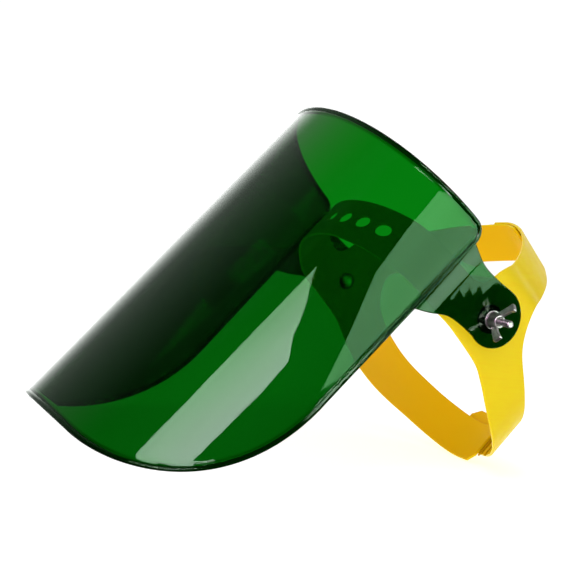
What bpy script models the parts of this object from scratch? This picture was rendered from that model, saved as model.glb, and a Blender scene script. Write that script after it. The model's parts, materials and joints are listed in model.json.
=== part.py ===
"""Face shield: a green visor on a yellow plastic headband, resting on its lower rim and its nape strap.

Everything is designed in the worn frame (x to the wearer's left, y to the back, z up, the origin
midway between the two pivots) and hangs on one empty, which tilts it back onto the floor.
"""

import math

import bmesh
import bpy
import numpy as np
from mathutils import Matrix, Vector

# Pose of the worn frame when the shield lies on a table
REST_TILT = math.radians(37.65)

GAP = 0.0003  # clearance between pieces that touch

# Visor panel: half an ellipse in plan, a little narrower at the bottom
VISOR_HALF_WIDTH = 0.1000
VISOR_DEPTH = 0.1015
VISOR_REAR_Y = -0.0493
VISOR_TOP_Z = 0.0315
VISOR_BOTTOM_Z = -0.2330
VISOR_TAPER = 0.30  # share of its half width lost for each metre down
VISOR_THICK = 0.0016
TOP_CORNER = 0.0090
LOWER_CORNER_ALONG = 0.1040
LOWER_CORNER_UP = 0.1120
BEAD_RADIUS = 0.0017
PANEL_COLUMNS = 64
PANEL_ROWS = 3

# Ear: the strip of the sheet that runs back from each rear edge to the pivot
EAR_THICK = 0.0020
EAR_X = 0.0976
EAR_END_RADIUS = 0.0205
EAR_END_Y = 0.0010
EAR_END_Z = 0.0030
JOGGLE_LENGTH = 0.0150
EAR_HOLE_RADIUS = 0.0029

# Headband: a flat moulding bent round the head
BAND_THICK = 0.0020
BAND_STEP = 0.0075  # spacing of the lines along which the flat moulding bends
BAND_HALF_WIDTH = 0.0935
FLAT_HALF = 0.0140
FRONT_Y = -0.0800
NAPE_Y = 0.1230
CROWN_TOP_Z = 0.0951
CROWN_BACK = 0.0360
CROWN_LEAN = math.radians(5.1)
CROWN_POINT = 1.336  # 1 would make the crown strap a plain ellipse, more makes it steeper
LAP_OFFSET = 0.0012
LAP_RAMP = 0.0300
CROWN_LAP = 0.0190
NAPE_LAP = 0.0200
NAPE_MIDDLE_Z = -0.0275
NAPE_SPLAY = 0.0050  # the left strap end sits this much high and the right one low
NAPE_SPLAY_LENGTH = 0.0700
PEG_RADIUS = 0.0017
PEG_HOLE_RADIUS = 0.0022
PEG_PITCH = 0.0084
PEG_REACH = 0.0032
PEG_HOLE_REACH = 0.0060
VENT_PITCH = 0.0215
VENT_LENGTH = 0.0140
VENT_HEIGHT = 0.0095
VENT_DEPTH = 0.0120
VENT_Z = 0.0
VENT_COUNT = 5
NECK_HOLE = 0.0060

# Pivot fasteners, M5
BOLT_RADIUS = 0.00245
BOLT_TIP_X = 0.1185
BOLT_HEAD_RADIUS = 0.0065
BOLT_HEAD_HEIGHT = 0.0024
NECK_SIDE = 0.0054
FRICTION_WASHER_RADIUS = 0.0095
FRICTION_WASHER_THICK = 0.0015
WASHER_RADIUS = 0.0062
WASHER_THICK = 0.0011
WASHER_BORE = 0.0028
NUT_BORE = 0.00255
NUT_BASE_RADIUS = 0.0056
NUT_TOP_RADIUS = 0.0042
NUT_HUB_HEIGHT = 0.0068
WING_REACH = 0.0136
WING_HEIGHT = 0.0152
WING_THICK = 0.0026
WING_TILT = math.radians(16.0)
TURN_STEPS = 40


def clear_scene():
    for thing in list(bpy.data.objects):
        bpy.data.objects.remove(thing, do_unlink=True)


def new_collection(name):
    made = bpy.data.collections.new(name)
    bpy.context.scene.collection.children.link(made)
    return made


def material(name, colour, roughness, metallic=0.0, alpha=1.0):
    made = bpy.data.materials.new(name)
    made.use_nodes = True
    shader = made.node_tree.nodes["Principled BSDF"]
    shader.inputs["Base Color"].default_value = (*colour, 1.0)
    shader.inputs["Roughness"].default_value = roughness
    shader.inputs["Metallic"].default_value = metallic
    shader.inputs["Alpha"].default_value = alpha
    made.diffuse_color = (*colour, alpha)
    return made


def object_of(bm, name, where, parent=None):
    mesh = bpy.data.meshes.new(name)
    bm.to_mesh(mesh)
    bm.free()
    made = bpy.data.objects.new(name, mesh)
    where.objects.link(made)
    made.parent = parent
    return made


def as_cutter(thing):
    thing.hide_render = True
    thing.display_type = "WIRE"
    return thing


def boolean(target, tool, operation):
    made = target.modifiers.new(operation.lower(), "BOOLEAN")
    made.operation = operation
    made.object = tool
    made.solver = "EXACT"


def solidify(target, thickness):
    made = target.modifiers.new("thickness", "SOLIDIFY")
    made.thickness = thickness
    made.offset = 0.0
    made.use_even_offset = True


def smooth_step(value, start, end):
    share = min(max((value - start) / (end - start), 0.0), 1.0)
    return share * share * (3.0 - 2.0 * share)


def smooth_line(points, steps=8):
    """Points on a Catmull-Rom curve through a few given ones."""
    padded = [points[0], *points, points[-1]]
    line = []
    for i in range(len(points) - 1):
        a, b, c, d = (np.array(p) for p in padded[i : i + 4])
        for t in np.linspace(0.0, 1.0, steps, endpoint=False):
            spot = b + 0.5 * t * (c - a + t * (2 * a - 5 * b + 4 * c - d + t * (3 * b - a - 3 * c + d)))
            line.append((float(spot[0]), float(spot[1])))
    line.append(tuple(points[-1]))
    return line


def arc(centre, radius, start, end, steps=16):
    angles = np.linspace(start, end, steps + 1)
    return [(centre[0] + radius * math.cos(a), centre[1] + radius * math.sin(a)) for a in angles]


class Ellipse:
    """Half or quarter of an ellipse, read by its length from the end at angle 0. A power over 1 points it."""

    def __init__(self, across, along, turn, power=1.0):
        angles = np.linspace(0.0, turn, 1441)
        cosine, sine = np.cos(angles), np.sin(angles)
        self.first = across * np.sign(cosine) * np.abs(cosine) ** power
        self.second = along * np.abs(sine) ** power
        steps = np.hypot(np.diff(self.first), np.diff(self.second))
        self.lengths = np.concatenate([[0.0], np.cumsum(steps)])
        self.length = float(self.lengths[-1])

    def at(self, length):
        first = float(np.interp(length, self.lengths, self.first))
        return first, float(np.interp(length, self.lengths, self.second))


def blank(outline, cuts_first, cuts_second):
    """A flat sheet with this outline, cut along straight lines so that it can bend."""
    bm = bmesh.new()
    bm.faces.new([bm.verts.new((first, second, 0.0)) for first, second in outline])
    for axis, cuts in (((1, 0, 0), cuts_first), ((0, 1, 0), cuts_second)):
        for cut in cuts:
            geometry = list(bm.verts) + list(bm.edges) + list(bm.faces)
            spot = Vector(axis) * cut
            bmesh.ops.bisect_plane(bm, geom=geometry, dist=1e-7, plane_co=spot, plane_no=axis)
    return bm


def turned(name, profile, where, parent, side, x):
    """A solid turned about the pivot axis from (radius, height) points, its foot at x."""
    bm = bmesh.new()
    corners = [bm.verts.new((radius, 0.0, height)) for radius, height in profile]
    for first, second in zip(corners, corners[1:] + corners[:1]):
        bm.edges.new((first, second))
    made = object_of(bm, name, where, parent)
    screw = made.modifiers.new("turn", "SCREW")
    screw.steps = TURN_STEPS
    screw.render_steps = TURN_STEPS
    screw.use_merge_vertices = True
    screw.merge_threshold = 0.00001
    made.location = (side * x, 0.0, 0.0)
    made.rotation_euler = (0.0, side * math.pi / 2, 0.0)
    return made


def cylinder(name, where, parent, radius, start, end, sides=32):
    """A closed cylinder between two points."""
    axis = Vector(end) - Vector(start)
    bm = bmesh.new()
    bmesh.ops.create_cone(
        bm, cap_ends=True, segments=sides, radius1=radius, radius2=radius, depth=axis.length
    )
    made = object_of(bm, name, where, parent)
    made.location = (Vector(start) + Vector(end)) / 2
    made.rotation_euler = axis.to_track_quat("Z", "Y").to_euler()
    return made


def visor_section():
    return Ellipse(VISOR_HALF_WIDTH, VISOR_DEPTH, math.pi)


def visor_top(from_edge):
    inset = max(TOP_CORNER - from_edge, 0.0)
    return VISOR_TOP_Z - TOP_CORNER + math.sqrt(max(TOP_CORNER**2 - inset**2, 0.0))


def visor_bottom(from_edge):
    share = max(1.0 - from_edge / LOWER_CORNER_ALONG, 0.0)
    return VISOR_BOTTOM_Z + LOWER_CORNER_UP * (1.0 - math.sqrt(1.0 - share**2))


def panel_columns(section):
    """Lengths along the section, closer together near its ends, where the outline turns."""
    shares = np.sin(np.linspace(-math.pi / 2, math.pi / 2, PANEL_COLUMNS + 1))
    return [0.5 * section.length * (1.0 + share) for share in shares]


def panel_point(section, along, z):
    x, forward = section.at(along)
    narrowed = 1.0 - VISOR_TAPER * (VISOR_TOP_Z - z)
    return Vector((x * narrowed, VISOR_REAR_Y - forward, z))


def visor_panel(where, parent):
    section = visor_section()
    columns = panel_columns(section)
    bm = bmesh.new()
    bmesh.ops.create_grid(bm, x_segments=PANEL_COLUMNS, y_segments=PANEL_ROWS, size=1.0)
    for vertex in bm.verts:
        column = columns[round((vertex.co.x + 1.0) / 2.0 * PANEL_COLUMNS)]
        from_edge = min(column, section.length - column)
        low, high = visor_bottom(from_edge), visor_top(from_edge)
        z = low + (high - low) * (vertex.co.y + 1.0) / 2.0
        vertex.co = panel_point(section, column, z)
    bmesh.ops.recalc_face_normals(bm, faces=bm.faces)
    made = object_of(bm, "visor", where, parent)
    solidify(made, VISOR_THICK)
    return made


def mesh_from_curve(data, name, where, parent):
    """Turns a curve into a closed mesh object, with the loose caps welded."""
    scratch = bpy.data.objects.new(name, data)
    where.objects.link(scratch)
    bpy.context.view_layer.update()
    graph = bpy.context.evaluated_depsgraph_get()
    mesh = bpy.data.meshes.new_from_object(scratch.evaluated_get(graph))
    bpy.data.objects.remove(scratch, do_unlink=True)
    bm = bmesh.new()
    bm.from_mesh(mesh)
    bmesh.ops.remove_doubles(bm, verts=bm.verts, dist=1e-6)
    bmesh.ops.recalc_face_normals(bm, faces=bm.faces)
    bpy.data.meshes.remove(mesh)
    return object_of(bm, name, where, parent)


def visor_bead(where, parent):
    """The rounded border that runs all round the panel."""
    section = visor_section()
    columns = panel_columns(section)
    edge = [min(column, section.length - column) for column in columns]
    route = [panel_point(section, c, visor_top(e)) for c, e in zip(columns, edge)]
    lower = [panel_point(section, c, visor_bottom(e)) for c, e in zip(columns, edge)]
    route += lower[::-1]
    data = bpy.data.curves.new("bead", "CURVE")
    data.dimensions = "3D"
    data.bevel_depth = BEAD_RADIUS
    data.bevel_resolution = 2
    spline = data.splines.new("POLY")
    spline.points.add(len(route) - 1)
    for point, spot in zip(spline.points, route):
        point.co = (*spot, 1.0)
    spline.use_cyclic_u = True
    return as_cutter(mesh_from_curve(data, "visor_bead", where, parent))


def ear_outline():
    """The ear's outline in (y, z): root edge, upper edge, round end, lower edge."""
    root = VISOR_REAR_Y - 0.0003
    upper = smooth_line([(root, 0.0220), (-0.0400, 0.0205), (-0.0290, 0.0190), (-0.0160, 0.0203), (-0.0040, 0.0228)])
    end = arc((EAR_END_Y, EAR_END_Z), EAR_END_RADIUS, math.radians(95), math.radians(-100), 24)
    lower = smooth_line([(-0.0130, -0.0185), (-0.0260, -0.0220), (-0.0380, -0.0305), (root, -0.0375)])
    return upper + end[1:] + lower


def visor_ear(side, where, parent):
    cuts = [VISOR_REAR_Y + JOGGLE_LENGTH * i / 6 for i in range(7)]
    bm = blank(ear_outline(), cuts, [])
    for vertex in bm.verts:
        y, z = vertex.co.x, vertex.co.y
        inward = smooth_step(y, VISOR_REAR_Y, VISOR_REAR_Y + JOGGLE_LENGTH)
        x = VISOR_HALF_WIDTH + (EAR_X - VISOR_HALF_WIDTH) * inward
        vertex.co = Vector((side * x, y, z))
    bmesh.ops.recalc_face_normals(bm, faces=bm.faces)
    made = object_of(bm, "visor_ear_" + side_name(side), where, parent)
    solidify(made, EAR_THICK)
    return as_cutter(made)


def side_name(side):
    return "left" if side > 0 else "right"


def make_visor(parts, tools, root, look):
    visor = visor_panel(parts, root)
    boolean(visor, visor_bead(tools, root), "UNION")
    for side in (1, -1):
        boolean(visor, visor_ear(side, tools, root), "UNION")
        hole = cylinder(
            "ear_hole_" + side_name(side), tools, root, EAR_HOLE_RADIUS,
            (side * (EAR_X - 0.004), 0, 0), (side * (EAR_X + 0.004), 0, 0),
        )
        boolean(visor, as_cutter(hole), "DIFFERENCE")
    visor.data.materials.append(look)
    return visor


def band_outline(front_length, nape_length, crown_length):
    """Half of the flat moulding: (length towards the front, height), from the forehead's middle round."""
    top_front = smooth_line([
        (front_length, 0.0165), (0.0900, 0.0165), (0.0700, 0.0152), (0.0520, 0.0122), (0.0380, 0.0098),
        (0.0275, 0.0095), (0.0205, 0.0128), (0.0174, 0.0200), (0.0168, 0.0300), (0.0168, 0.0520),
        (0.0168, 0.0750), (0.0168, 0.1050),
    ])
    crown_end = [(0.0168, crown_length - 0.006), (0.0108, crown_length), (-0.0120, crown_length)]
    crown_end += [(-0.0180, crown_length - 0.006)]
    top_back = smooth_line([
        (-0.0180, 0.1050), (-0.0180, 0.0750), (-0.0180, 0.0550), (-0.0195, 0.0380),
        (-0.0255, 0.0235), (-0.0340, 0.0110), (-0.0450, 0.0030), (-0.0650, -0.0040),
        (-0.0860, -0.0085), (-0.1150, -0.0110), (-0.1400, -0.0110),
    ])
    nape_end = [(-nape_length + 0.006, -0.0110), (-nape_length, -0.0170), (-nape_length, -0.0380)]
    nape_end += [(-nape_length + 0.006, -0.0440)]
    bottom = smooth_line([
        (-0.1400, -0.0440), (-0.1150, -0.0440), (-0.0840, -0.0430), (-0.0640, -0.0405), (-0.0470, -0.0365),
        (-0.0300, -0.0305), (-0.0150, -0.0258), (0.0140, -0.0238), (0.0340, -0.0235),
        (0.0700, -0.0195), (front_length, -0.0165),
    ])
    return top_front + crown_end + top_back + nape_end + bottom


def band_mapper(side, outside):
    """Returns the function that bends the flat half on this side round the head."""
    front = Ellipse(BAND_HALF_WIDTH, -FRONT_Y - FLAT_HALF, math.pi / 2)
    back = Ellipse(BAND_HALF_WIDTH, NAPE_Y - FLAT_HALF, math.pi)
    crown = Ellipse(BAND_HALF_WIDTH, CROWN_TOP_Z - FLAT_HALF, math.pi, CROWN_POINT)

    def ring(along, up):
        if along > FLAT_HALF:
            x, forward = front.at(along - FLAT_HALF)
            return Vector((x, -FLAT_HALF - forward, up))
        if along < -FLAT_HALF:
            x, behind = back.at(-along - FLAT_HALF)
            return Vector((x, FLAT_HALF + behind, up))
        return Vector((BAND_HALF_WIDTH, -along, up))

    def arch(along, up):
        x, rise = crown.at(max(up - FLAT_HALF, 0.0))
        share = rise / (CROWN_TOP_Z - FLAT_HALF)
        lean = CROWN_LEAN * share
        centre = Vector((x, CROWN_BACK * share, min(up, FLAT_HALF) + rise))
        return centre + Vector((0.0, -math.cos(lean), math.sin(lean))) * along

    def place(along, up):
        share = smooth_step(up, 0.018, 0.050)
        return ring(along, up).lerp(arch(along, up), share)

    def normal(along, up):
        step = 0.0005
        first = place(along + step, up) - place(along - step, up)
        second = place(along, up + step) - place(along, up - step)
        return second.cross(first).normalized()

    crown_middle = FLAT_HALF + crown.length / 2
    nape_middle = FLAT_HALF + back.length / 2

    def bend(along, up):
        spot = place(along, up)
        lap = smooth_step(up, crown_middle - CROWN_LAP - LAP_RAMP, crown_middle - CROWN_LAP)
        lap += smooth_step(-along, nape_middle - NAPE_LAP - LAP_RAMP, nape_middle - NAPE_LAP)
        if lap > 0.0:
            outward = normal(along, up)
            spot = spot + outward * (LAP_OFFSET * lap * (1 if outside else -1))
        splay = smooth_step(-along, nape_middle - NAPE_SPLAY_LENGTH, nape_middle)
        spot.z += NAPE_SPLAY * splay * (1 if outside else -1)
        return Vector((side * spot.x, spot.y, spot.z))

    def socket(along, up):
        """Middle of the lap at this place of the flat half, and the way out of it."""
        spot, outward = place(along, up), normal(along, up)
        return Vector((side * spot.x, spot.y, spot.z)), Vector((side * outward.x, outward.y, outward.z))

    return bend, socket, (FLAT_HALF + front.length, nape_middle, crown_middle)


def band_half(side, outside):
    bend, _, (front_length, nape_middle, crown_middle) = band_mapper(side, outside)
    nape_length = nape_middle + NAPE_LAP
    crown_length = crown_middle + CROWN_LAP
    outline = band_outline(front_length, nape_length, crown_length)
    along_cuts = list(np.arange(-nape_length + 0.004, front_length, BAND_STEP))
    up_cuts = [-0.036, -0.026, -0.012, 0.0, 0.010]
    up_cuts += list(np.arange(0.018, crown_length - 0.004, BAND_STEP))
    bm = blank(outline, along_cuts, up_cuts)
    for vertex in bm.verts:
        vertex.co = bend(vertex.co.x, vertex.co.y)
    return bm


def make_headband(parts, tools, root, look):
    bm = band_half(1, True)
    other = band_half(-1, False)
    scratch = bpy.data.meshes.new("right_half")
    other.to_mesh(scratch)
    other.free()
    bm.from_mesh(scratch)
    bpy.data.meshes.remove(scratch)
    bmesh.ops.remove_doubles(bm, verts=bm.verts, dist=1e-5)
    bmesh.ops.recalc_face_normals(bm, faces=bm.faces)
    band = object_of(bm, "headband", parts, root)
    solidify(band, BAND_THICK)
    for tool in vent_cutters(tools, root) + neck_cutters(tools, root):
        boolean(band, tool, "DIFFERENCE")
    for hole, peg in lap_fasteners(tools, root):
        boolean(band, hole, "DIFFERENCE")
        boolean(band, peg, "UNION")
    band.data.materials.append(look)
    return band


def vent_cutters(tools, root):
    """Oval holes through the forehead band, each square to the band where it sits."""
    front = Ellipse(BAND_HALF_WIDTH, -FRONT_Y - FLAT_HALF, math.pi / 2)
    cutters = []
    for i in range(VENT_COUNT):
        offset = (i - (VENT_COUNT - 1) / 2) * VENT_PITCH
        side = math.copysign(1.0, offset)
        x, forward = front.at(front.length - abs(offset))
        x_near, forward_near = front.at(front.length - abs(offset) - 0.001)
        along_band = Vector((side * (x_near - x), forward - forward_near, 0.0))
        bm = bmesh.new()
        bmesh.ops.create_cone(bm, cap_ends=True, segments=28, radius1=0.5, radius2=0.5, depth=VENT_DEPTH)
        bmesh.ops.scale(bm, verts=bm.verts, vec=(VENT_HEIGHT, VENT_LENGTH, 1.0))
        bmesh.ops.rotate(bm, verts=bm.verts, matrix=Matrix.Rotation(math.pi / 2, 3, "Y"))
        cutter = object_of(bm, f"vent_{i + 1}", tools, root)
        cutter.location = (side * x, -FLAT_HALF - forward, VENT_Z)
        cutter.rotation_euler = (0.0, 0.0, math.atan2(along_band.y, along_band.x) + math.pi / 2)
        cutters.append(as_cutter(cutter))
    return cutters


def neck_cutters(tools, root):
    """Square holes for the carriage bolts' necks."""
    cutters = []
    for side in (1, -1):
        bm = bmesh.new()
        bmesh.ops.create_cube(bm, size=NECK_HOLE)
        cutter = object_of(bm, "neck_hole_" + side_name(side), tools, root)
        cutter.location = (side * BAND_HALF_WIDTH, 0.0, 0.0)
        cutters.append(as_cutter(cutter))
    return cutters


def lap_fasteners(tools, root):
    """A hole in the outer strap end and a peg on the inner one, twice at the crown and twice at the nape."""
    _, socket, (_, nape_middle, crown_middle) = band_mapper(1, True)
    flat_spots = {
        "crown_1": (0.0, crown_middle - PEG_PITCH),
        "crown_2": (0.0, crown_middle + PEG_PITCH),
        "nape_1": (-nape_middle + PEG_PITCH, NAPE_MIDDLE_Z),
        "nape_2": (-nape_middle - PEG_PITCH, NAPE_MIDDLE_Z),
    }
    pairs = []
    for name, (along, up) in flat_spots.items():
        spot, outward = socket(along, up)
        hole = cylinder(name + "_hole", tools, root, PEG_HOLE_RADIUS, spot, spot + outward * PEG_HOLE_REACH, 20)
        foot = spot - outward * (LAP_OFFSET + BAND_THICK * 0.25)
        peg = cylinder(name + "_peg", tools, root, PEG_RADIUS, foot, spot + outward * PEG_REACH, 16)
        pairs.append((as_cutter(hole), as_cutter(peg)))
    return pairs


def make_bolt(side, parts, root, look):
    """Carriage bolt: low dome inside the band, square neck in the band, shank out through the nut."""
    inner = BAND_HALF_WIDTH - BAND_THICK / 2 - GAP
    dome = [(BOLT_HEAD_RADIUS * math.cos(a), -BOLT_HEAD_HEIGHT * math.sin(a))
            for a in np.linspace(math.radians(90), math.radians(8), 9)]
    dome[0] = (0.0, -BOLT_HEAD_HEIGHT)
    tip = BOLT_TIP_X - inner
    shank = [(BOLT_HEAD_RADIUS, 0.0), (BOLT_RADIUS, 0.0), (BOLT_RADIUS, tip - 0.0006)]
    shank += [(BOLT_RADIUS - 0.0006, tip), (0.0, tip)]
    bm = bmesh.new()
    corners = [bm.verts.new((radius, 0.0, height)) for radius, height in (dome + shank)[::-1]]
    for first, second in zip(corners, corners[1:]):
        bm.edges.new((first, second))
    bolt = object_of(bm, "pivot_bolt_" + side_name(side), parts, root)
    screw = bolt.modifiers.new("turn", "SCREW")
    screw.steps = TURN_STEPS
    screw.render_steps = TURN_STEPS
    screw.use_merge_vertices = True
    screw.merge_threshold = 0.00001
    bolt.location = (side * inner, 0.0, 0.0)
    bolt.rotation_euler = (0.0, side * math.pi / 2, 0.0)
    bm = bmesh.new()
    bmesh.ops.create_cube(bm, size=1.0)
    bmesh.ops.scale(bm, verts=bm.verts, vec=(NECK_SIDE, NECK_SIDE, 0.0024))
    neck = object_of(bm, "neck_" + side_name(side), bpy.data.collections["cutters"], root)
    neck.location = (side * (inner + 0.0008), 0.0, 0.0)
    neck.rotation_euler = (0.0, side * math.pi / 2, 0.0)
    boolean(bolt, as_cutter(neck), "UNION")
    bolt.data.materials.append(look)
    return bolt


def make_ring(name, side, parts, root, look, start, thick, outer, bore):
    ring = turned(name, [(bore, thick), (outer, thick), (outer, 0.0), (bore, 0.0)], parts, root, side, start)
    ring.data.materials.append(look)
    return ring


def wing_outline():
    """One wing's side view: (distance from the axis, height above the nut's foot)."""
    tip = arc((WING_REACH - 0.0038, WING_HEIGHT - 0.0038), 0.0038, math.radians(-25), math.radians(125), 12)
    lower = smooth_line([(0.0030, 0.0012), (0.0062, 0.0028), (0.0096, 0.0062)], 5)
    upper = smooth_line([(0.0062, 0.0105), (0.0045, 0.0075), (0.0030, 0.0062)], 5)
    return lower + tip + upper


def make_wing_nut(side, parts, tools, root, look, start):
    name = "wing_nut_" + side_name(side)
    hub = [(NUT_BORE, NUT_HUB_HEIGHT), (NUT_TOP_RADIUS, NUT_HUB_HEIGHT), (NUT_BASE_RADIUS - 0.0003, 0.0016)]
    hub += [(NUT_BASE_RADIUS, 0.0010), (NUT_BASE_RADIUS, 0.0), (NUT_BORE, 0.0)]
    nut = turned(name, hub, parts, root, side, start)
    lay_down = Matrix.Rotation(side * math.pi / 2, 4, "Y")
    nut.rotation_euler = (lay_down @ Matrix.Rotation(WING_TILT, 4, "Z")).to_euler()
    for turn in (0, 1):
        bm = blank(wing_outline(), [], [])
        rise = Matrix.Rotation(math.pi / 2, 4, "X")
        spin = Matrix.Rotation(math.pi * turn, 4, "Z")
        bmesh.ops.transform(bm, matrix=spin @ rise, verts=bm.verts)
        bmesh.ops.recalc_face_normals(bm, faces=bm.faces)
        wing = object_of(bm, f"{name}_wing_{turn + 1}", tools, root)
        wing.location = nut.location
        wing.rotation_euler = nut.rotation_euler
        solidify(wing, WING_THICK)
        boolean(nut, as_cutter(wing), "UNION")
    nut.data.materials.append(look)
    return nut


def stand_on_floor(root, parts):
    """Puts the lowest point on z = 0 and the middle of the box on the z axis."""
    bpy.context.view_layer.update()
    graph = bpy.context.evaluated_depsgraph_get()
    corners = []
    for thing in parts.objects:
        if thing.type != "MESH":
            continue
        seen = thing.evaluated_get(graph)
        corners += [seen.matrix_world @ vertex.co for vertex in seen.data.vertices]
    low = [min(corner[i] for corner in corners) for i in range(3)]
    high = [max(corner[i] for corner in corners) for i in range(3)]
    root.location = (-(low[0] + high[0]) / 2, -(low[1] + high[1]) / 2, -low[2])


def main():
    clear_scene()
    parts = new_collection("face_shield")
    tools = new_collection("cutters")
    root = bpy.data.objects.new("worn_frame", None)
    parts.objects.link(root)
    root.rotation_euler = (-REST_TILT, 0.0, 0.0)
    green = material("green_visor", (0.02, 0.22, 0.04), 0.08, alpha=0.6)
    yellow = material("yellow_band", (0.86, 0.66, 0.02), 0.45)
    zinc = material("zinc_steel", (0.62, 0.62, 0.60), 0.35, 1.0)
    fibre = material("black_fibre", (0.03, 0.03, 0.03), 0.7)
    make_visor(parts, tools, root, green)
    make_headband(parts, tools, root, yellow)
    friction_x = BAND_HALF_WIDTH + BAND_THICK / 2 + GAP
    washer_x = EAR_X + EAR_THICK / 2 + GAP
    for side in (1, -1):
        make_bolt(side, parts, root, zinc)
        make_ring(
            "friction_washer_" + side_name(side), side, parts, root, fibre,
            friction_x, FRICTION_WASHER_THICK, FRICTION_WASHER_RADIUS, WASHER_BORE,
        )
        make_ring(
            "washer_" + side_name(side), side, parts, root, zinc,
            washer_x, WASHER_THICK, WASHER_RADIUS, WASHER_BORE,
        )
        make_wing_nut(side, parts, tools, root, zinc, washer_x + WASHER_THICK + GAP)
    stand_on_floor(root, bpy.data.collections["face_shield"])


main()
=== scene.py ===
"""Looks of the face shield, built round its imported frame: a see-through green visor on a yellow headband."""

import json
import math

import bmesh
import bpy
import numpy as np
from mathutils import Matrix, Vector

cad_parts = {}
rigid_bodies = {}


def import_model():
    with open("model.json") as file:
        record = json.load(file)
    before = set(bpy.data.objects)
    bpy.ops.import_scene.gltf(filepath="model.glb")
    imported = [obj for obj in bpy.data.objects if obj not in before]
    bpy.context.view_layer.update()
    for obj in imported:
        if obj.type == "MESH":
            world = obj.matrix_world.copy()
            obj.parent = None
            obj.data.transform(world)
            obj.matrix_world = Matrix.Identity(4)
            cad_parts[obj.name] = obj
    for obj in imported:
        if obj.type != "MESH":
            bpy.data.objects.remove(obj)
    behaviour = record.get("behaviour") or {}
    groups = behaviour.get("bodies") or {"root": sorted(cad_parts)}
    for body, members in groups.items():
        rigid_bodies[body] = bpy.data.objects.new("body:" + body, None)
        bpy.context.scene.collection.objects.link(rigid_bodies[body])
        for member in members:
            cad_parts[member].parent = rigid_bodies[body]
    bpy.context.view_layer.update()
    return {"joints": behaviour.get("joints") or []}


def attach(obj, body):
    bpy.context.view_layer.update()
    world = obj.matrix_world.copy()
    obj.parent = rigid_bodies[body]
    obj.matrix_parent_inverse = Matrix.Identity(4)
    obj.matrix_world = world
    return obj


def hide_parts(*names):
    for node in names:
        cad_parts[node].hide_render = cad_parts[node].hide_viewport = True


for leftover in list(bpy.data.objects):
    bpy.data.objects.remove(leftover, do_unlink=True)

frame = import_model()

# The worn frame: x to the wearer's left, y to the back, z up, origin midway between the pivots
REST_TILT = math.radians(37.65)
PIVOT = Vector(next(j["pos_m"] for j in frame["joints"] if j["name"] == "visor_swing"))
WORN = Matrix.Translation(PIVOT) @ Matrix.Rotation(-REST_TILT, 4, "X")

# Visor
VISOR_HALF_WIDTH = 0.1000
VISOR_DEPTH = 0.1015
VISOR_REAR_Y = -0.0493
VISOR_TOP_Z = 0.0315
VISOR_BOTTOM_Z = -0.2330
VISOR_TAPER = 0.30
VISOR_HALF_THICK = 0.0008
TOP_CORNER = 0.0090
LOWER_CORNER_ALONG = 0.1040
LOWER_CORNER_UP = 0.1120
BEAD_RADIUS = 0.0017
RIDGE_IN = 0.0044
RIDGE_WIDTH = 0.00042
RIDGE_HEIGHT = 0.00034
RIM_BLEND = 6.0
RIM_BLEND_SCALE = 0.998  # keeps the blend from rising above the bead
VISOR_COLUMNS = 240
VISOR_ROWS = 96
VISOR_TINTS = ((0.93, 0.97, 0.93), (0.99, 1.00, 0.99))
VISOR_SHEEN = (0.46, 1.0, 0.52, 1.0)
DYE_COLOUR = (0.04, 0.69, 0.20, 1.0)
DYE_DENSITY = 4750.0

# Ear
EAR_THICK = 0.0020
EAR_X = 0.0976
EAR_END_RADIUS = 0.0205
EAR_END_Y = 0.0010
EAR_END_Z = 0.0030
JOGGLE_LENGTH = 0.0150
EAR_HOLE_RADIUS = 0.0029
EAR_ROUNDING = 0.0006
EAR_ROOT_OVERLAP = 0.0003

# Headband
BAND_THICK = 0.0020
BAND_HALF_WIDTH = 0.0935
FLAT_HALF = 0.0140
FRONT_Y = -0.0800
NAPE_Y = 0.1230
CROWN_TOP_Z = 0.0951
CROWN_BACK = 0.0360
CROWN_LEAN = math.radians(5.1)
CROWN_POINT = 1.336
LAP_OFFSET = 0.0012
LAP_RAMP = 0.0300
CROWN_LAP = 0.0190
CROWN_FRONT = 0.0168
CROWN_REAR = -0.0180
ARCH_START = 0.0180
ARCH_FULL = 0.0500
NAPE_LAP = 0.0200
NAPE_MIDDLE_Z = -0.0275
NAPE_TOP = -0.0110
NAPE_BOTTOM = -0.0440
STRAP_CORNER = 0.0060
NAPE_SPLAY = 0.0050
NAPE_SPLAY_LENGTH = 0.0700
PEG_RADIUS = 0.0017
PEG_HOLE_RADIUS = 0.0022
PEG_PITCH = 0.0084
PEG_REACH = 0.0032
PEG_ROUNDING = 0.0006
VENT_PITCH = 0.0215
VENT_LENGTH = 0.0140
VENT_HEIGHT = 0.0095
VENT_COUNT = 5
NECK_HOLE = 0.0060
BAND_ROUNDING = 0.0005
BAND_STEP = 0.0030
BEYOND_MIDDLE = 0.0060  # each half is drawn this far past the forehead's middle, then cut there
# attribute marking the inner faces that get the painted through-light orange
PAINTED_LIGHT_MARK = "inner_face"
RIB_PLACES = (0.0240, 0.0360, 0.0760)
RIB_RADIUS = 0.0008
RIB_SINK = 0.0003
RIB_LOW = -0.0420
RIB_HIGH = -0.0130
LUG_PLACES = (0.0240, 0.0330, 0.0420)
LUG_RADIUS = 0.0009
LUG_LENGTH = 0.0040
LUG_UP = -0.0108
BAND_CENTRE = Vector((0.0, 0.0200, 0.0))
YELLOWS = ((0.84, 0.625, 0.002), (0.88, 0.675, 0.004))
YELLOW_STREAK = (0.84, 0.50, 0.002)
# painted light: the more orange yellow painted on the inner faces for light shining through the plastic
YELLOW_PAINTED_THROUGH_LIGHT = (0.84, 0.50, 0.001)

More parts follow.
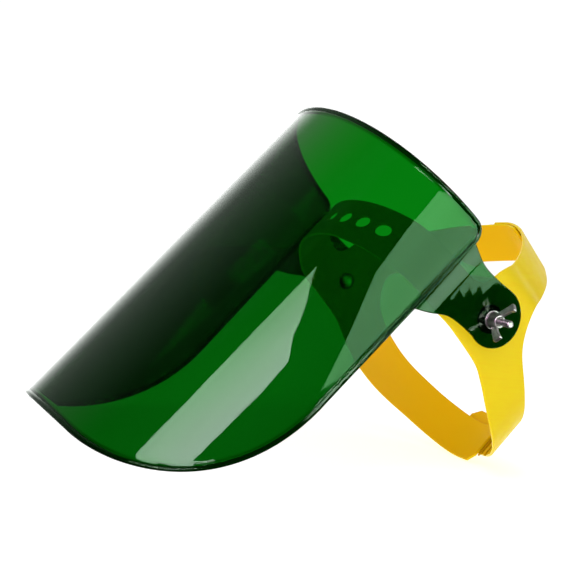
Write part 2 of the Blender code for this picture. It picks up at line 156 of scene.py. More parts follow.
# Fasteners
GAP = 0.0003
BOLT_RADIUS = 0.00245
BOLT_TIP_X = 0.1185
BOLT_HEAD_RADIUS = 0.0065
BOLT_HEAD_HEIGHT = 0.0024
BOLT_HEAD_EDGE = 0.0002
NECK_SIDE = 0.0054
NECK_LENGTH = 0.0022
NECK_MIDDLE = 0.0010
NECK_ROUNDING = 0.0003
SHANK_START = 0.0018
THREAD_TAPER = 0.0007
THREAD_PITCH = 0.0008
THREAD_DEPTH = 0.00038
FRICTION_WASHER_RADIUS = 0.0095
FRICTION_WASHER_THICK = 0.0015
FRICTION_WASHER_ROUNDING = 0.0003
WASHER_RADIUS = 0.0062
WASHER_THICK = 0.0011
WASHER_BORE = 0.0028
WASHER_ROUNDING = 0.0002
NUT_BORE = 0.00255
NUT_BASE_RADIUS = 0.0056
NUT_TOP_RADIUS = 0.0042
NUT_HUB_HEIGHT = 0.0068
NUT_VOXEL = 0.00022
WING_REACH = 0.0136
WING_HEIGHT = 0.0152
WING_THICK = 0.0026
WING_TIP_RADIUS = 0.0012
WING_TILT = math.radians(16.0)

# Camera, in the worn frame
CAMERA_SPOT = Vector((0.69747, -0.39500, -0.24504))
CAMERA_RIGHT = Vector((0.4478, 0.5929, 0.6693))
CAMERA_UP = Vector((-0.1368, -0.6943, 0.7066))
CAMERA_LENS_MM = 72.0
CAMERA_SENSOR_MM = 36.0

# Floor and key light
FLOOR_HALF = 4.0
FLOOR_Z = -0.0002
FLOOR_GLOW = 0.62
KEY_SPOT = Vector((0.9, -1.3, 1.7))
KEY_AIM = Vector((0.0, 0.0, 0.1))
KEY_SIZE = 0.9
KEY_POWER = 14.0

# Room: its light as seen, on matt surfaces and in mirrored views. A mirrored glow has its direction, the
# cosines to it at which it starts and is full, and its strength.
WHITE_ROOM = 1.05
FILL_LIGHT = 0.53
MIRRORED_DARK = 0.01
MIRRORED_GLOWS = (
    ((-0.950, -0.200, 0.100), -0.20, 0.85, 0.52),
    ((-0.884, 0.464, -0.067), 0.50, 1.00, 1.90),
)

# Softboxes that the glossy visor mirrors: x of each one's plane, and its corners in (y, z). A tint blends
# into the low tint between the two heights.
CARD_LOW_Z = 0.30
CARD_HIGH_Z = 1.25
CARD_MOTTLE = 0.14
TALL_CARD_X = 1.60
TALL_CARD = [
    (-0.865, 1.350), (-1.030, 1.040), (-1.210, 0.690), (-0.450, 0.030), (-0.145, 0.297),
    (-0.136, 0.396), (-0.329, 0.616), (-0.471, 0.821), (-0.687, 1.100),
]
TALL_CARD_STRENGTH = 7.5
TALL_CARD_TINT = (0.95, 0.88, 0.88)
TALL_CARD_LOW_TINT = (2.0, 1.12, 1.9)
NEAR_CARD_X = 0.55
NEAR_CARD = [
    (0.030, 0.460), (0.000, 0.345), (0.003, 0.265), (0.037, 0.200), (0.149, -0.001),
    (0.200, -0.001), (0.290, 0.088), (0.360, 0.098), (0.372, 0.093), (0.379, 0.106),
    (0.386, 0.099), (0.392, 0.111), (0.398, 0.102), (0.405, 0.115), (0.411, 0.105),
    (0.425, 0.120), (0.485, 0.125), (0.492, -0.250), (0.900, -0.250), (0.900, 0.460),
]
NEAR_CARD_STRENGTH = 3.7
NEAR_CARD_TINT = (0.95, 1.1, 1.0)


# ---------------------------------------------------------------- small tools

def smooth_step(value, start, end):
    share = min(max((value - start) / (end - start), 0.0), 1.0)
    return share * share * (3.0 - 2.0 * share)


def smooth_line(points, steps=8):
    """Points on a Catmull-Rom curve through a few given ones."""
    padded = [points[0], *points, points[-1]]
    line = []
    for i in range(len(points) - 1):
        a, b, c, d = (np.array(p) for p in padded[i : i + 4])
        for t in np.linspace(0.0, 1.0, steps, endpoint=False):
            spot = b + 0.5 * t * (c - a + t * (2 * a - 5 * b + 4 * c - d + t * (3 * b - a - 3 * c + d)))
            line.append((float(spot[0]), float(spot[1])))
    line.append(tuple(points[-1]))
    return line


def arc(centre, radius, start, end, steps):
    angles = np.linspace(start, end, steps + 1)
    return [(centre[0] + radius * math.cos(a), centre[1] + radius * math.sin(a)) for a in angles]


class Ellipse:
    """Half or quarter of an ellipse, read by its length from the end at angle 0. A power over 1 points it."""

    def __init__(self, across, along, turn, power=1.0):
        angles = np.linspace(0.0, turn, 1441)
        cosine, sine = np.cos(angles), np.sin(angles)
        self.first = across * np.sign(cosine) * np.abs(cosine) ** power
        self.second = along * np.abs(sine) ** power
        steps = np.hypot(np.diff(self.first), np.diff(self.second))
        self.lengths = np.concatenate([[0.0], np.cumsum(steps)])
        self.length = float(self.lengths[-1])

    def at(self, length):
        first = np.interp(length, self.lengths, self.first)
        return first, np.interp(length, self.lengths, self.second)


def mesh_from(name, vertices, faces):
    mesh = bpy.data.meshes.new(name)
    mesh.from_pydata([tuple(map(float, v)) for v in vertices], [], faces)
    mesh.update()
    return mesh


def object_from(name, data):
    made = bpy.data.objects.new(name, data)
    bpy.context.scene.collection.objects.link(made)
    return made


def applied(thing):
    """Replaces the object's mesh by what its modifiers make of it."""
    bpy.context.view_layer.update()
    graph = bpy.context.evaluated_depsgraph_get()
    mesh = bpy.data.meshes.new_from_object(thing.evaluated_get(graph))
    thing.modifiers.clear()
    thing.data = mesh
    return thing


def boolean(thing, tools, operation):
    """Cuts the tools out of the object, or joins them to it, and removes them."""
    for tool in tools:
        modifier = thing.modifiers.new(operation.lower(), "BOOLEAN")
        modifier.operation = operation
        modifier.object = tool
        modifier.solver = "EXACT"
    applied(thing)
    for tool in tools:
        bpy.data.objects.remove(tool, do_unlink=True)
    return thing


def face_outwards(mesh):
    bm = bmesh.new()
    bm.from_mesh(mesh)
    bmesh.ops.recalc_face_normals(bm, faces=bm.faces)
    bm.to_mesh(mesh)
    bm.free()


def settle(thing, look, body, nodes, angle, weighted=False):
    """Puts a piece made in the worn frame in its place and hands it to its body.

    Edges over the angle, in degrees, stay sharp. Weighted normals follow the larger faces.
    """
    thing.data.transform(WORN @ thing.matrix_world)
    thing.matrix_world = Matrix.Identity(4)
    thing.data.shade_smooth()
    thing.data.set_sharp_from_angle(angle=math.radians(angle))
    if weighted:
        modifier = thing.modifiers.new("weighted", "WEIGHTED_NORMAL")
        modifier.keep_sharp = True
        modifier.weight = 50
    thing.data.materials.clear()
    thing.data.materials.append(look)
    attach(thing, body)
    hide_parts(*nodes)
    return thing


def prism(name, outline, low, high):
    """A straight prism on an outline in (u, v), from w = low to w = high."""
    count = len(outline)
    vertices = [(u, v, low) for u, v in outline] + [(u, v, high) for u, v in outline]
    faces = [tuple(range(count))[::-1], tuple(range(count, 2 * count))]
    faces += [(i, (i + 1) % count, count + (i + 1) % count, count + i) for i in range(count)]
    mesh = mesh_from(name, vertices, faces)
    face_outwards(mesh)
    return object_from(name, mesh)


def plate(name, outline, holes, thick, rounding, segments=3):
    """A flat plate with holes and rounded rims, lying in (u, v) with its thickness along w."""
    made = prism(name, outline, -thick / 2, thick / 2)
    if holes:
        boolean(made, [prism(name + "_hole", hole, -thick, thick) for hole in holes], "DIFFERENCE")
    bevel = made.modifiers.new("rounding", "BEVEL")
    bevel.width = rounding
    bevel.segments = segments
    bevel.limit_method = "ANGLE"
    bevel.angle_limit = math.radians(50)
    bevel.use_clamp_overlap = False
    return applied(made)


def bent(thing, cuts_u, cuts_v, keep_below_u, place):
    """Cuts a plate along straight lines and puts each of its points at place(u, v, w)."""
    bm = bmesh.new()
    bm.from_mesh(thing.data)

    def cut_across(axis, at, clear_outer=False):
        geometry = list(bm.verts) + list(bm.edges) + list(bm.faces)
        bmesh.ops.bisect_plane(
            bm, geom=geometry, dist=1e-7, plane_co=axis * at, plane_no=axis, clear_outer=clear_outer
        )

    if keep_below_u is not None:
        cut_across(Vector((1, 0, 0)), keep_below_u, clear_outer=True)
    for axis, cuts in ((Vector((1, 0, 0)), cuts_u), (Vector((0, 1, 0)), cuts_v)):
        for cut in cuts:
            cut_across(axis, cut)
    for vertex in bm.verts:
        vertex.co = place(vertex.co.x, vertex.co.y, vertex.co.z)
    bm.to_mesh(thing.data)
    bm.free()
    return thing


def revolved(name, profile, steps=72):
    """A closed solid turned about z from a closed (radius, height) loop."""
    count = len(profile)
    vertices, faces = [], []
    for i in range(steps):
        angle = 2 * math.pi * i / steps
        vertices += [(r * math.cos(angle), r * math.sin(angle), h) for r, h in profile]
    for i in range(steps):
        here, there = i * count, ((i + 1) % steps) * count
        for k in range(count):
            m = (k + 1) % count
            faces.append((here + k, there + k, there + m, here + m))
    mesh = mesh_from(name, vertices, faces)
    bm = bmesh.new()
    bm.from_mesh(mesh)
    bmesh.ops.remove_doubles(bm, verts=bm.verts, dist=1e-7)
    bmesh.ops.recalc_face_normals(bm, faces=bm.faces)
    bm.to_mesh(mesh)
    bm.free()
    return object_from(name, mesh)


def rounded_loop(corners, radius):
    """A closed (radius, height) loop with each corner rounded."""
    steps = 4
    loop = []
    count = len(corners)
    for i in range(count):
        before, corner, after = (np.array(corners[j % count], float) for j in (i - 1, i, i + 1))
        first, second = before - corner, after - corner
        reach = min(radius, 0.45 * np.linalg.norm(first), 0.45 * np.linalg.norm(second))
        start = corner + first / np.linalg.norm(first) * reach
        end = corner + second / np.linalg.norm(second) * reach
        for t in np.linspace(0.0, 1.0, steps + 1):
            loop.append(tuple((1 - t) ** 2 * start + 2 * t * (1 - t) * corner + t * t * end))
    return loop


def side_name(side):
    return "left" if side > 0 else "right"


def along_pivot(side, x, turn=0.0):
    """Matrix that lays a piece made about z along the pivot axis, its foot at x."""
    lay = Matrix.Rotation(side * math.pi / 2, 4, "Y")
    return Matrix.Translation((side * x, 0, 0)) @ lay @ Matrix.Rotation(turn, 4, "Z")


# ---------------------------------------------------------------- materials

class Nodes:
    """Short way to write a material's node tree."""

    def __init__(self, name):
        self.material = bpy.data.materials.new(name)
        self.material.use_nodes = True
        self.tree = self.material.node_tree
        self.shader = self.tree.nodes["Principled BSDF"]

    def add(self, kind, **inputs):
        node = self.tree.nodes.new(kind)
        for key, value in inputs.items():
            node.inputs[key.replace("_", " ")].default_value = value
        return node

    def link(self, output, socket):
        self.tree.links.new(output, socket)

    def place(self, scale):
        """Object coordinates scaled by (x, y, z)."""
        spot = self.add("ShaderNodeTexCoord")
        mapping = self.add("ShaderNodeMapping")
        mapping.inputs["Scale"].default_value = scale
        self.link(spot.outputs["Object"], mapping.inputs["Vector"])
        return mapping.outputs["Vector"]

    def noise(self, scale, detail=4.0, roughness=0.55, stretch=(1, 1, 1)):
        made = self.add("ShaderNodeTexNoise", Scale=scale, Detail=detail, Roughness=roughness)
        self.link(self.place(stretch), made.inputs["Vector"])
        return made.outputs["Fac"]

    def remap(self, value, low, high, to_low, to_high):
        made = self.add("ShaderNodeMapRange")
        for key, number in (("From Min", low), ("From Max", high), ("To Min", to_low), ("To Max", to_high)):
            made.inputs[key].default_value = number
        self.link(value, made.inputs["Value"])
        return made.outputs["Result"]

    def mix(self, share, first, second):
        made = self.add("ShaderNodeMix")
        made.data_type = "RGBA"
        self.link(share, made.inputs[0])
        for socket, value in ((made.inputs[6], first), (made.inputs[7], second)):
            if isinstance(value, tuple):
                socket.default_value = (*value, 1.0)
            else:
                self.link(value, socket)
        return made.outputs[2]

    def bump(self, height, distance, strength, before=None):
        made = self.add("ShaderNodeBump", Strength=strength, Distance=distance)
        self.link(height, made.inputs["Height"])
        if before is not None:
            self.link(before, made.inputs["Normal"])
        return made.outputs["Normal"]


def green_look():
    """Dyed clear plastic: the colour is in its depth, so rims and slanted views are darker."""
    n = Nodes("visor_green")
    s = n.shader
    cloud = n.remap(n.noise(9.0, 2.0), 0.3, 0.7, 0.0, 1.0)
    n.link(n.mix(cloud, *VISOR_TINTS), s.inputs["Base Color"])
    smudge = n.noise(26.0, 5.0, 0.6)
    n.link(n.remap(smudge, 0.35, 0.75, 0.012, 0.035), s.inputs["Roughness"])
    waves = n.bump(n.noise(14.0, 1.0, 0.4), 0.0002, 0.35)
    grain = n.bump(n.noise(900.0, 2.0), 0.000004, 0.25, waves)
    n.link(grain, s.inputs["Normal"])
    s.inputs["Transmission Weight"].default_value = 1.0
    s.inputs["IOR"].default_value = 1.49
    s.inputs["Specular Tint"].default_value = VISOR_SHEEN
    dye = n.add("ShaderNodeVolumeAbsorption", Density=DYE_DENSITY, Color=DYE_COLOUR)
    n.link(dye.outputs[0], n.tree.nodes["Material Output"].inputs["Volume"])
    return n.material


def yellow_look():
    """Moulded plastic with faint flow streaks. Its inner faces are painted more orange: painted light standing
    in for light that shines through the plastic.
    """
    n = Nodes("headband_yellow")
    s = n.shader
    cloud = n.remap(n.noise(22.0, 3.0), 0.3, 0.7, 0.0, 1.0)
    tone = n.mix(cloud, *YELLOWS)
    streaks = n.remap(n.noise(60.0, 4.0, 0.6, (1, 1, 9)), 0.42, 0.70, 0.0, 0.22)
    tone = n.mix(streaks, tone, YELLOW_STREAK)
    # painted light: inner faces are mixed towards a more orange yellow for light shining through the plastic
    inner = n.add("ShaderNodeAttribute")
    inner.attribute_name = PAINTED_LIGHT_MARK
    n.link(n.mix(inner.outputs["Fac"], tone, YELLOW_PAINTED_THROUGH_LIGHT), s.inputs["Base Color"])
    n.link(n.remap(n.noise(55.0, 5.0, 0.6), 0.3, 0.7, 0.38, 0.55), s.inputs["Roughness"])
    s.inputs["Specular IOR Level"].default_value = 0.08
    grain = n.bump(n.noise(1400.0, 3.0), 0.00002, 0.35)
    flow = n.bump(n.noise(70.0, 3.0, 0.5, (1, 1, 5)), 0.00012, 0.30, grain)
    n.link(flow, s.inputs["Normal"])
    s.inputs["IOR"].default_value = 1.51
    s.inputs["Subsurface Weight"].default_value = 0.25
    s.inputs["Subsurface Radius"].default_value = (1.0, 0.45, 0.05)
    s.inputs["Subsurface Scale"].default_value = 0.0018
    return n.material


def metal_look(name, tone, dark, low, high, grain_scale, grain_height):
    """Zinc-plated or cast metal in two tones, its roughness between low and high."""
    n = Nodes(name)
    s = n.shader
    cloud = n.remap(n.noise(420.0, 4.0), 0.35, 0.7, 0.0, 1.0)
    n.link(n.mix(cloud, tone, dark), s.inputs["Base Color"])
    n.link(n.remap(n.noise(700.0, 4.0), 0.3, 0.7, low, high), s.inputs["Roughness"])
    n.link(n.bump(n.noise(grain_scale, 3.0), grain_height, 0.6), s.inputs["Normal"])
    s.inputs["Metallic"].default_value = 1.0
    return n.material


def fibre_look():
    n = Nodes("fibre_black")
    s = n.shader
    n.link(n.mix(n.noise(900.0, 5.0), (0.012, 0.012, 0.012), (0.045, 0.042, 0.040)), s.inputs["Base Color"])
    n.link(n.remap(n.noise(500.0, 4.0), 0.3, 0.7, 0.6, 0.85), s.inputs["Roughness"])
    n.link(n.bump(n.noise(2200.0, 4.0), 0.00006, 0.6), s.inputs["Normal"])
    return n.material


# ---------------------------------------------------------------- visor

def sheet_outline(section):
    """Edge of the bare sheet in (along, z), as a closed loop."""
    turn = np.linspace(0.0, math.pi / 2, 90)
    top_in = TOP_CORNER * (1 - np.cos(turn))
    top_z = VISOR_TOP_Z - TOP_CORNER * (1 - np.sin(turn))
    low_in = LOWER_CORNER_ALONG * (1 - np.cos(turn))
    low_z = VISOR_BOTTOM_Z + LOWER_CORNER_UP * (1 - np.sin(turn))
    full = section.length
    top = np.linspace(TOP_CORNER, full - TOP_CORNER, 400)[1:-1]
    low = np.linspace(LOWER_CORNER_ALONG, full - LOWER_CORNER_ALONG, 200)[1:-1]
    rear = np.linspace(top_z[0], low_z[0], 160)[1:-1]
    parts = [
        np.c_[top_in, top_z], np.c_[top, np.full(len(top), VISOR_TOP_Z)], np.c_[full - top_in, top_z][::-1],
        np.c_[np.full(len(rear), full), rear], np.c_[full - low_in, low_z],
        np.c_[low[::-1], np.full(len(low), VISOR_BOTTOM_Z)], np.c_[low_in, low_z][::-1],
        np.c_[np.zeros(len(rear)), rear[::-1]],
    ]
    return np.concatenate(parts)


def grown(loop, distance):
    """The closed loop moved outwards, for a loop that runs clockwise."""
    ahead = np.roll(loop, -1, axis=0) - np.roll(loop, 1, axis=0)
    ahead /= np.linalg.norm(ahead, axis=1)[:, None]
    return loop + np.c_[-ahead[:, 1], ahead[:, 0]] * distance


def distance_to(loop, points):
    """Distance from each point to the closed loop."""
    nearest = np.empty(len(points), int)
    for start in range(0, len(points), 4000):
        gap = points[start : start + 4000, None, :] - loop[None, :, :]
        nearest[start : start + 4000] = np.argmin((gap**2).sum(axis=2), axis=1)
    best = np.full(len(points), np.inf)
    for shift in (-1, 0):
        a = loop[(nearest + shift) % len(loop)]
        b = loop[(nearest + shift + 1) % len(loop)]
        along = ((points - a) * (b - a)).sum(axis=1) / ((b - a) ** 2).sum(axis=1)
        spot = a + (b - a) * np.clip(along, 0, 1)[:, None]
        best = np.minimum(best, np.linalg.norm(points - spot, axis=1))
    return best


def panel_points(section, along, z):
    """Middle surface of the visor in the worn frame."""
    x, forward = section.at(np.clip(along, 0, section.length))
    beyond = np.maximum(-along, 0) + np.maximum(along - section.length, 0)
    narrowed = 1.0 - VISOR_TAPER * (VISOR_TOP_Z - z)
    return np.stack([x * narrowed, VISOR_REAR_Y - forward + beyond, z], axis=-1)


def rim_profile(distance):
    """Half thickness of the visor at this distance in from its outermost edge."""
    inside = BEAD_RADIUS**2 - (BEAD_RADIUS - np.minimum(distance, 2 * BEAD_RADIUS)) ** 2
    bead = np.sqrt(np.maximum(inside, 0.0))
    sheet = VISOR_HALF_THICK + RIDGE_HEIGHT * np.exp(-(((distance - RIDGE_IN) / RIDGE_WIDTH) ** 2))
    blend = RIM_BLEND_SCALE * (bead**RIM_BLEND + sheet**RIM_BLEND) ** (1.0 / RIM_BLEND)
    return np.where(distance < BEAD_RADIUS, bead, blend)


def visor_panel():
    """The sheet and its bead, as a grid of columns along the bend whose two faces meet at the rim."""
    section = Ellipse(VISOR_HALF_WIDTH, VISOR_DEPTH, math.pi)
    rim = grown(sheet_outline(section), BEAD_RADIUS)
    left, right = rim[:, 0].min(), rim[:, 0].max()
    share = (1 - np.cos(np.linspace(0, math.pi, VISOR_COLUMNS + 1))) / 2
    columns = left + (right - left) * share
    high_part = rim[rim[:, 1] > (VISOR_TOP_Z - TOP_CORNER - 0.0001)]
    high_part = high_part[np.argsort(high_part[:, 0])]
    low_part = rim[rim[:, 1] < VISOR_BOTTOM_Z + LOWER_CORNER_UP + 0.0001]
    low_part = low_part[np.argsort(low_part[:, 0])]
    high = np.interp(columns, high_part[:, 0], high_part[:, 1])
    low = np.interp(columns, low_part[:, 0], low_part[:, 1])
    rows = (1 - np.cos(np.linspace(0, math.pi, VISOR_ROWS + 1))) / 2
    along = np.repeat(columns[:, None], VISOR_ROWS + 1, axis=1)
    z = low[:, None] + (high - low)[:, None] * rows[None, :]
    flat = np.c_[along.ravel(), z.ravel()]
    thick = rim_profile(distance_to(rim, flat)).reshape(along.shape)
    edge = np.zeros(along.shape, bool)
    edge[0] = edge[-1] = True
    edge[:, 0] = edge[:, -1] = True
    thick[edge] = 0.0
    middle = panel_points(section, along, z)
    step = 0.0004
    across = panel_points(section, along + step, z) - panel_points(section, along - step, z)
    up = panel_points(section, along, z + step) - panel_points(section, along, z - step)
    normal = np.cross(up, across)
    normal /= np.linalg.norm(normal, axis=2)[:, :, None]
    outer = middle + normal * thick[:, :, None]
    inner = middle - normal * thick[:, :, None]
    count = along.size
    inner_index = np.arange(count).reshape(along.shape) + count
    inner_index[edge] = np.arange(count).reshape(along.shape)[edge]
    faces = []
    for i in range(VISOR_COLUMNS):
        for j in range(VISOR_ROWS):
            a, b = i * (VISOR_ROWS + 1) + j, (i + 1) * (VISOR_ROWS + 1) + j
            faces.append((a, a + 1, b + 1, b))
            faces.append(tuple(int(k) for k in (
                inner_index[i, j], inner_index[i + 1, j], inner_index[i + 1, j + 1], inner_index[i, j + 1],
            )))
    vertices = np.concatenate([outer.reshape(-1, 3), inner.reshape(-1, 3)])
    mesh = mesh_from("visor_sheet", vertices, faces)
    bm = bmesh.new()
    bm.from_mesh(mesh)
    loose = [v for v in bm.verts if not v.link_faces]
    bmesh.ops.delete(bm, geom=loose, context="VERTS")
    bmesh.ops.recalc_face_normals(bm, faces=bm.faces)
    bm.to_mesh(mesh)
    bm.free()
    return object_from("visor_sheet", mesh)


def ear_outline():
    """The ear's outline in (y, z): root edge, upper edge, round end, lower edge."""
    root = VISOR_REAR_Y - EAR_ROOT_OVERLAP
    upper = smooth_line([
        (root, 0.0220), (-0.0400, 0.0205), (-0.0290, 0.0190), (-0.0160, 0.0203), (-0.0040, 0.0228),
    ])
    end = arc((EAR_END_Y, EAR_END_Z), EAR_END_RADIUS, math.radians(95), math.radians(-100), 40)
    lower = smooth_line([(-0.0130, -0.0185), (-0.0260, -0.0220), (-0.0380, -0.0305), (root, -0.0375)])
    return upper + end[1:] + lower


def visor_ear(side):
    hole = arc((0.0, 0.0), EAR_HOLE_RADIUS, 0.0, 2 * math.pi, 40)[:-1]
    ear = plate("ear", ear_outline(), [hole], EAR_THICK, EAR_ROUNDING)

    def place(y, z, w):
        inward = smooth_step(y, VISOR_REAR_Y, VISOR_REAR_Y + JOGGLE_LENGTH)
        x = VISOR_HALF_WIDTH + (EAR_X - VISOR_HALF_WIDTH) * inward
        return Vector((side * (x + w), y, z))

    cuts = list(np.arange(VISOR_REAR_Y, VISOR_REAR_Y + JOGGLE_LENGTH + 0.001, 0.001))
    bent(ear, cuts, list(np.arange(-0.036, 0.023, 0.004)), None, place)
    face_outwards(ear.data)
    return ear


def make_visor(look):
    visor = visor_panel()
    boolean(visor, [visor_ear(1), visor_ear(-1)], "UNION")
    visor.visible_diffuse = False
    return settle(visor, look, "visor", ["visor"], 50.0, True)


# ---------------------------------------------------------------- headband

def band_outline(front_length, nape_length, crown_length):
    """Half of the flat moulding: (length towards the front, height), from the forehead's middle round."""
    beyond = front_length + BEYOND_MIDDLE
    top_front = smooth_line([
        (beyond, 0.0165), (0.0900, 0.0165), (0.0700, 0.0152), (0.0520, 0.0122), (0.0380, 0.0098),
        (0.0275, 0.0095), (0.0205, 0.0128), (0.0174, 0.0200), (CROWN_FRONT, 0.0300),
        (CROWN_FRONT, 0.0520), (CROWN_FRONT, 0.0750), (CROWN_FRONT, 0.1050),
    ])
    crown_end = [
        (CROWN_FRONT, crown_length - STRAP_CORNER), (CROWN_FRONT - STRAP_CORNER, crown_length),
        (CROWN_REAR + STRAP_CORNER, crown_length), (CROWN_REAR, crown_length - STRAP_CORNER),
    ]
    top_back = smooth_line([
        (CROWN_REAR, 0.1050), (CROWN_REAR, 0.0750), (CROWN_REAR, 0.0550), (-0.0195, 0.0380),
        (-0.0255, 0.0235), (-0.0340, 0.0110), (-0.0450, 0.0030), (-0.0650, -0.0040),
        (-0.0860, -0.0085), (-0.1150, NAPE_TOP), (-0.1400, NAPE_TOP),
    ])
    nape_end = [
        (-nape_length + STRAP_CORNER, NAPE_TOP), (-nape_length, NAPE_TOP - STRAP_CORNER),
        (-nape_length, NAPE_BOTTOM + STRAP_CORNER), (-nape_length + STRAP_CORNER, NAPE_BOTTOM),
    ]
    bottom = smooth_line([
        (-0.1400, NAPE_BOTTOM), (-0.1150, NAPE_BOTTOM),
        (-0.0840, -0.0430), (-0.0640, -0.0405), (-0.0470, -0.0365),
        (-0.0300, -0.0305), (-0.0150, -0.0258), (0.0140, -0.0238), (0.0340, -0.0235),
        (0.0700, -0.0195), (beyond, -0.0165),
    ])
    return top_front + crown_end + top_back + nape_end + bottom


class BandShape:
    """Bends the flat half of the moulding round one side of the head."""

    def __init__(self, side, outside):
        self.side, self.layer = side, 1 if outside else -1
        self.front = Ellipse(BAND_HALF_WIDTH, -FRONT_Y - FLAT_HALF, math.pi / 2)
        self.back = Ellipse(BAND_HALF_WIDTH, NAPE_Y - FLAT_HALF, math.pi)
        self.crown = Ellipse(BAND_HALF_WIDTH, CROWN_TOP_Z - FLAT_HALF, math.pi, CROWN_POINT)
        self.front_length = FLAT_HALF + self.front.length
        self.nape_middle = FLAT_HALF + self.back.length / 2
        self.crown_middle = FLAT_HALF + self.crown.length / 2

    def peg_spots(self):
        """(along, up) of the pegs: a pair at the crown and a pair at the nape."""
        spots = []
        for shift in (-PEG_PITCH, PEG_PITCH):
            spots += [(0.0, self.crown_middle + shift), (-self.nape_middle + shift, NAPE_MIDDLE_Z)]
        return spots

    def ring(self, along, up):
        """Middle of the temple plate, and of the band round the forehead and the nape."""
        if along > FLAT_HALF:
            x, forward = self.front.at(along - FLAT_HALF)
            return Vector((x, -FLAT_HALF - forward, up))
        if along < -FLAT_HALF:
            x, behind = self.back.at(-along - FLAT_HALF)
            return Vector((x, FLAT_HALF + behind, up))
        return Vector((BAND_HALF_WIDTH, -along, up))

    def arch(self, along, up):
        """Middle of the strap over the crown, which leans back as it rises."""
        x, rise = self.crown.at(max(up - FLAT_HALF, 0.0))
        share = rise / (CROWN_TOP_Z - FLAT_HALF)
        lean = CROWN_LEAN * share
        centre = Vector((x, CROWN_BACK * share, min(up, FLAT_HALF) + rise))
        return centre + Vector((0.0, -math.cos(lean), math.sin(lean))) * along

    def middle(self, along, up):
        share = smooth_step(up, ARCH_START, ARCH_FULL)
        if share == 0.0:
            return self.ring(along, up)
        if share == 1.0:
            return self.arch(along, up)
        return self.ring(along, up).lerp(self.arch(along, up), share)

    def outward(self, along, up):
        step = 0.0005
        first = self.middle(along + step, up) - self.middle(along - step, up)
        second = self.middle(along, up + step) - self.middle(along, up - step)
        return second.cross(first).normalized()

    def place(self, along, up, height):
        lap = smooth_step(up, self.crown_middle - CROWN_LAP - LAP_RAMP, self.crown_middle - CROWN_LAP)
        lap += smooth_step(-along, self.nape_middle - NAPE_LAP - LAP_RAMP, self.nape_middle - NAPE_LAP)
        spot = self.middle(along, up) + self.outward(along, up) * (height + LAP_OFFSET * lap * self.layer)
        splay = smooth_step(-along, self.nape_middle - NAPE_SPLAY_LENGTH, self.nape_middle)
        spot.z += NAPE_SPLAY * splay * self.layer
        return Vector((self.side * spot.x, spot.y, spot.z))


def square(side):
    half = side / 2
    return [(-half, -half), (half, -half), (half, half), (-half, half)]


def oval(centre, length, height, steps):
    angles = np.linspace(0, 2 * math.pi, steps, endpoint=False)
    return [(centre[0] + length / 2 * math.cos(a), centre[1] + height / 2 * math.sin(a)) for a in angles]


def band_half(side, outside):
    shape = BandShape(side, outside)
    nape_length = shape.nape_middle + NAPE_LAP
    crown_length = shape.crown_middle + CROWN_LAP
    outline = band_outline(shape.front_length, nape_length, crown_length)
    vents = range(VENT_COUNT // 2 + 1)
    holes = [oval((shape.front_length - i * VENT_PITCH, 0.0), VENT_LENGTH, VENT_HEIGHT, 36) for i in vents]
    holes.append(square(NECK_HOLE))
    if outside:
        holes += [oval(spot, 2 * PEG_HOLE_RADIUS, 2 * PEG_HOLE_RADIUS, 24) for spot in shape.peg_spots()]
    half_band = plate("half_band", outline, holes, BAND_THICK, BAND_ROUNDING)
    cuts_along = list(np.arange(-nape_length + 0.002, shape.front_length - 0.001, BAND_STEP))
    cuts_up = [-0.040, -0.032, -0.024, -0.018, -0.012, -0.006, 0.0, 0.006, 0.012]
    cuts_up += list(np.arange(0.0165, crown_length - 0.002, BAND_STEP))
    return bent(half_band, cuts_along, cuts_up, shape.front_length, shape.place)


def peg(spot, outward):
    """A moulded peg with a rounded head, on the inner strap and through the outer one."""
    foot = LAP_OFFSET + BAND_THICK * 0.25
    shoulder = PEG_REACH - PEG_ROUNDING
    profile = [(0.0, -foot), (PEG_RADIUS, -foot), (PEG_RADIUS, shoulder)]
    profile += arc((PEG_RADIUS - PEG_ROUNDING, shoulder), PEG_ROUNDING, 0.3, math.pi / 2, 4)
    profile.append((0.0, PEG_REACH))
    made = revolved("peg", profile, 28)
    made.data.transform(Matrix.Translation(spot) @ outward.to_track_quat("Z", "Y").to_matrix().to_4x4())
    return made


def bar(start, end, radius):
    """A straight round bar with domed ends."""
    steps = 12
    axis = end - start
    dome = [(radius * math.sin(a), -radius * math.cos(a)) for a in np.linspace(0.0, math.pi / 2, 5)[1:]]
    profile = dome + [(r, axis.length - z) for r, z in reversed(dome)]
    turn = axis.to_track_quat("Z", "Y").to_matrix()
    vertices = [start - turn.col[2] * radius]
    for r, z in profile:
        for k in range(steps):
            angle = 2 * math.pi * k / steps
            vertices.append(start + turn @ Vector((r * math.cos(angle), r * math.sin(angle), z)))
    vertices.append(end + turn.col[2] * radius)
    last = len(vertices) - 1
    faces = [(0, 1 + (k + 1) % steps, 1 + k) for k in range(steps)]
    for row in range(len(profile) - 1):
        low, high = 1 + row * steps, 1 + (row + 1) * steps
        faces += [(low + k, low + (k + 1) % steps, high + (k + 1) % steps, high + k) for k in range(steps)]
    top = 1 + (len(profile) - 1) * steps
    faces += [(top + k, top + (k + 1) % steps, last) for k in range(steps)]
    mesh = mesh_from("bar", vertices, faces)
    face_outwards(mesh)
    return object_from("bar", mesh)


def nape_details(side, outside):
    """Cross ribs on the inner face of a nape strap, and the notch lugs on its upper edge."""
    shape = BandShape(side, outside)
    bars = []
    for gap in RIB_PLACES:
        along = -shape.nape_middle + gap
        inward = shape.outward(along, NAPE_MIDDLE_Z) * (BAND_THICK / 2 - RIB_SINK)
        low, high = (shape.middle(along, up) - inward for up in (RIB_LOW, RIB_HIGH))
        bars.append(bar(low, high, RIB_RADIUS))
    for gap in LUG_PLACES:
        along = -shape.nape_middle + gap
        spot = shape.middle(along, LUG_UP)
        ahead = shape.middle(along + LUG_LENGTH / 2, LUG_UP) - spot
        bars.append(bar(spot - ahead, spot + ahead, LUG_RADIUS))
    return bars


